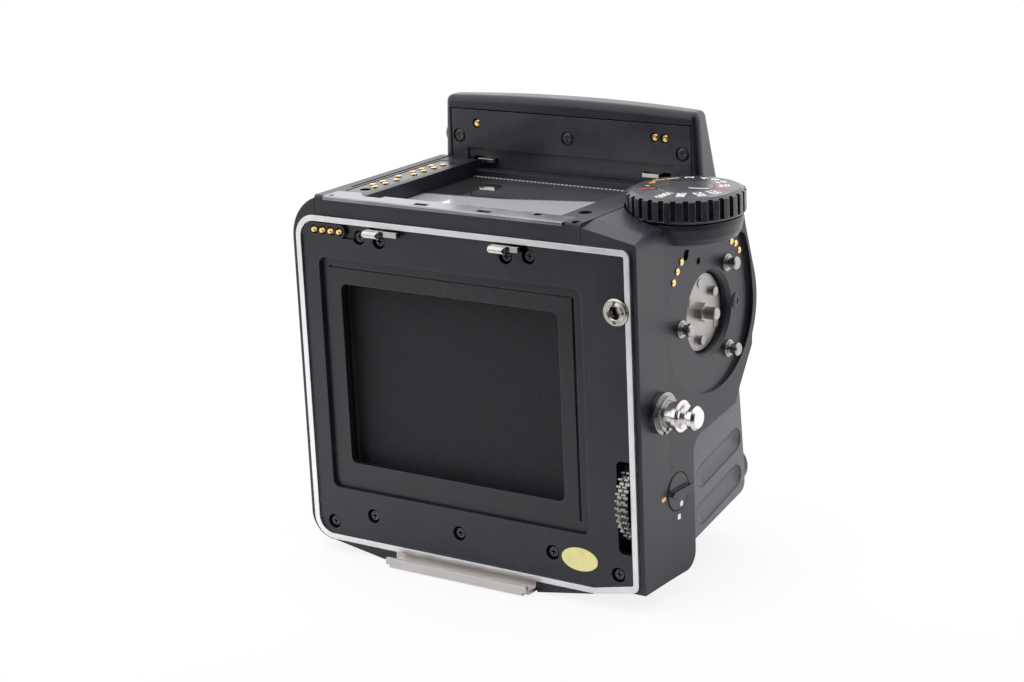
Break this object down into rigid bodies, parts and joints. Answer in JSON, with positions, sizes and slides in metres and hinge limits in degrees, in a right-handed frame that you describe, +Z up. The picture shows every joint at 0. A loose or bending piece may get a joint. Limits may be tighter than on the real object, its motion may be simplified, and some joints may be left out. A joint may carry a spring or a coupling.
{
  "type": "medium format film camera body",
  "caption": "Black modular single-lens reflex body without film back, finder, winder or lens, with shutter curtain, focusing screen, speed dial and winder coupling.",
  "frame": {"origin": "mouth of the tripod socket, under the lens axis", "axes": "+Z up, -Y out of the lens mount, +Y towards the film back, -X towards the winding side"},
  "size_m": [0.1128, 0.0654, 0.1018],
  "materials": {
    "black_plastic": "fine-grained satin black moulding",
    "black_gloss": "smooth black",
    "black_metal": "matte black paint",
    "bright_aluminium": "fine brushed",
    "nickel_steel": "satin nickel",
    "gear_steel": "milled",
    "mount_chrome": "polished",
    "gold_contact": "gold plated",
    "screw_black": "blackened steel",
    "curtain_cloth": "rubberised cloth",
    "screen_glass": "ground glass under a clear face",
    "mirror_glass": "front-silvered",
    "sticker_paper": "pale yellow",
    "cell_metal": "plated can",
    "board_green": "printed board",
    "print_white": "printed marks",
    "print_orange": "printed marks",
    "print_red": "printed marks",
    "print_yellow": "printed marks"
  },
  "bodies": {
    "camera_body": {"base_plate": "black_plastic", "battery": "cell_metal", "body_screws": "screw_black", "cable_release_socket": "black_gloss", "circuit_board": "board_green", "coupling_bearing": "black_metal", "electrical_contacts": "gold_contact", "film_back_bracket": "nickel_steel", "film_back_hooks": "nickel_steel", "finder_contact_strip": "black_gloss", "finder_rear_strip": "bright_aluminium", "focusing_screen": "screen_glass", "front_housing": "black_plastic", "gate_frame": "black_metal", "gear_bracket": "black_metal", "hood_cover": "black_plastic", "hood_plate": "black_gloss", "inspection_sticker": "sticker_paper", "left_end_cap": "black_plastic", "lens_mount_ring": "mount_chrome", "mirror_box": "black_metal", "mirror_hinge_pin": "gear_steel", "rear_casting": "black_metal", "rear_contact_block": "black_gloss", "rear_plate": "black_metal", "right_housing": "black_plastic", "rim_frame": "bright_aluminium", "screen_frame": "black_metal", "shutter_curtain": "curtain_cloth", "shutter_frame": "black_metal", "slotted_bush": "nickel_steel", "strap_rings": "nickel_steel", "strap_studs": "nickel_steel", "sync_socket": "nickel_steel", "top_plate": "black_plastic", "tripod_socket": "nickel_steel", "winder_studs": "nickel_steel"},
    "dial": {"speed_dial": "black_gloss", "dial_shaft": "gear_steel"},
    "dial_lock": {"dial_lock_button": "black_gloss"},
    "winder_coupling": {"coupling_disc": "nickel_steel", "coupling_gear": "gear_steel"},
    "idler": {"idler_gear": "gear_steel"},
    "film_gear": {"film_wind_gear": "gear_steel"},
    "lower_roller": {"lower_curtain_roller": "black_metal"},
    "upper_roller": {"upper_curtain_roller": "black_metal"},
    "mirror": {"mirror_holder": "black_metal", "reflex_mirror": "mirror_glass"},
    "left_catch": {"left_finder_catch": "nickel_steel"},
    "right_catch": {"right_finder_catch": "nickel_steel"},
    "finder_release": {"finder_release_button": "black_gloss"},
    "lens_release": {"lens_release_button": "black_gloss"},
    "lens_lock": {"lens_lock_pin": "nickel_steel"},
    "shutter_release": {"shutter_release_button": "black_gloss"},
    "release_lock": {"release_lock_collar": "black_gloss"},
    "mirror_lockup": {"mirror_lockup_lever": "black_gloss"},
    "multi_exposure": {"multi_exposure_lever": "black_gloss"},
    "battery_cover": {"battery_door": "black_plastic"},
    "sensor": {"sensing_pin": "nickel_steel"}
  },
  "joints": [
    {"name": "dial_turn", "type": "hinge", "parent": "camera_body", "child": "dial", "pos_m": [-0.046, 0.0015, 0.0842], "axis": [0, 0, 1], "range_deg": [-150, 150]},
    {"name": "dial_lock_press", "type": "slide", "parent": "dial", "child": "dial_lock", "axis": [0, 0, -1], "range_m": [0, 0.0009], "stiffness_N_per_m": 200},
    {"name": "coupling_turn", "type": "hinge", "parent": "camera_body", "child": "winder_coupling", "pos_m": [-0.0467, -0.00265, 0.0608], "axis": [1, 0, 0], "continuous": true},
    {"name": "idler_turn", "type": "hinge", "parent": "camera_body", "child": "idler", "pos_m": [-0.043, 0.01226, 0.04549], "axis": [1, 0, 0], "continuous": true},
    {"name": "film_gear_turn", "type": "hinge", "parent": "camera_body", "child": "film_gear", "pos_m": [-0.043, 0.0184, 0.0245], "axis": [1, 0, 0], "continuous": true},
    {"name": "lower_roller_turn", "type": "hinge", "parent": "camera_body", "child": "lower_roller", "pos_m": [0, 0.0179, 0.0145], "axis": [1, 0, 0], "range_deg": [0, 660]},
    {"name": "upper_roller_turn", "type": "hinge", "parent": "camera_body", "child": "upper_roller", "pos_m": [0, 0.0179, 0.0736], "axis": [1, 0, 0], "range_deg": [0, 660]},
    {"name": "mirror_swing", "type": "hinge", "parent": "camera_body", "child": "mirror", "pos_m": [0, 0.0163, 0.0662], "axis": [-1, 0, 0], "range_deg": [0, 45]},
    {"name": "finder_release_press", "type": "slide", "parent": "camera_body", "child": "finder_release", "axis": [-1, 0, 0], "range_m": [0, 0.001], "stiffness_N_per_m": 200},
    {"name": "left_catch_slide", "type": "slide", "parent": "camera_body", "child": "left_catch", "axis": [1, 0, 0], "range_m": [0, 0.0018]},
    {"name": "right_catch_slide", "type": "slide", "parent": "camera_body", "child": "right_catch", "axis": [-1, 0, 0], "range_m": [0, 0.0018]},
    {"name": "lens_release_press", "type": "slide", "parent": "camera_body", "child": "lens_release", "axis": [0, 1, 0], "range_m": [0, 0.0018], "stiffness_N_per_m": 200},
    {"name": "lens_lock_retract", "type": "slide", "parent": "camera_body", "child": "lens_lock", "axis": [0, 1, 0], "range_m": [0, 0.0018]},
    {"name": "shutter_release_press", "type": "slide", "parent": "camera_body", "child": "shutter_release", "axis": [0, 1, 0], "range_m": [0, 0.0015], "stiffness_N_per_m": 200},
    {"name": "release_lock_turn", "type": "hinge", "parent": "camera_body", "child": "release_lock", "pos_m": [-0.041, -0.022, 0.0182], "axis": [0, -1, 0], "range_deg": [0, 60]},
    {"name": "mirror_lockup_turn", "type": "hinge", "parent": "camera_body", "child": "mirror_lockup", "pos_m": [0.0334, -0.027, 0.074], "axis": [0, -1, 0], "range_deg": [0, 60]},
    {"name": "multi_exposure_turn", "type": "hinge", "parent": "camera_body", "child": "multi_exposure", "pos_m": [-0.0488, 0.0127, 0.024], "axis": [1, 0, 0], "range_deg": [0, 70]},
    {"name": "battery_door_swing", "type": "hinge", "parent": "camera_body", "child": "battery_cover", "pos_m": [0.015, 0.0107, 0.001], "axis": [1, 0, 0], "range_deg": [0, 95]},
    {"name": "sensing_pin_press", "type": "slide", "parent": "camera_body", "child": "sensor", "axis": [0, -1, 0], "range_m": [0, 0.0012], "stiffness_N_per_m": 200}
  ],
  "couplings": [
    {"joint": "idler_turn", "follows": "coupling_turn", "ratio": -0.88889},
    {"joint": "film_gear_turn", "follows": "coupling_turn", "ratio": 0.95238},
    {"joint": "upper_roller_turn", "follows": "lower_roller_turn", "ratio": 1},
    {"joint": "left_catch_slide", "follows": "finder_release_press", "ratio": 1.8},
    {"joint": "right_catch_slide", "follows": "finder_release_press", "ratio": 1.8},
    {"joint": "lens_lock_retract", "follows": "lens_release_press", "ratio": 1}
  ]
}
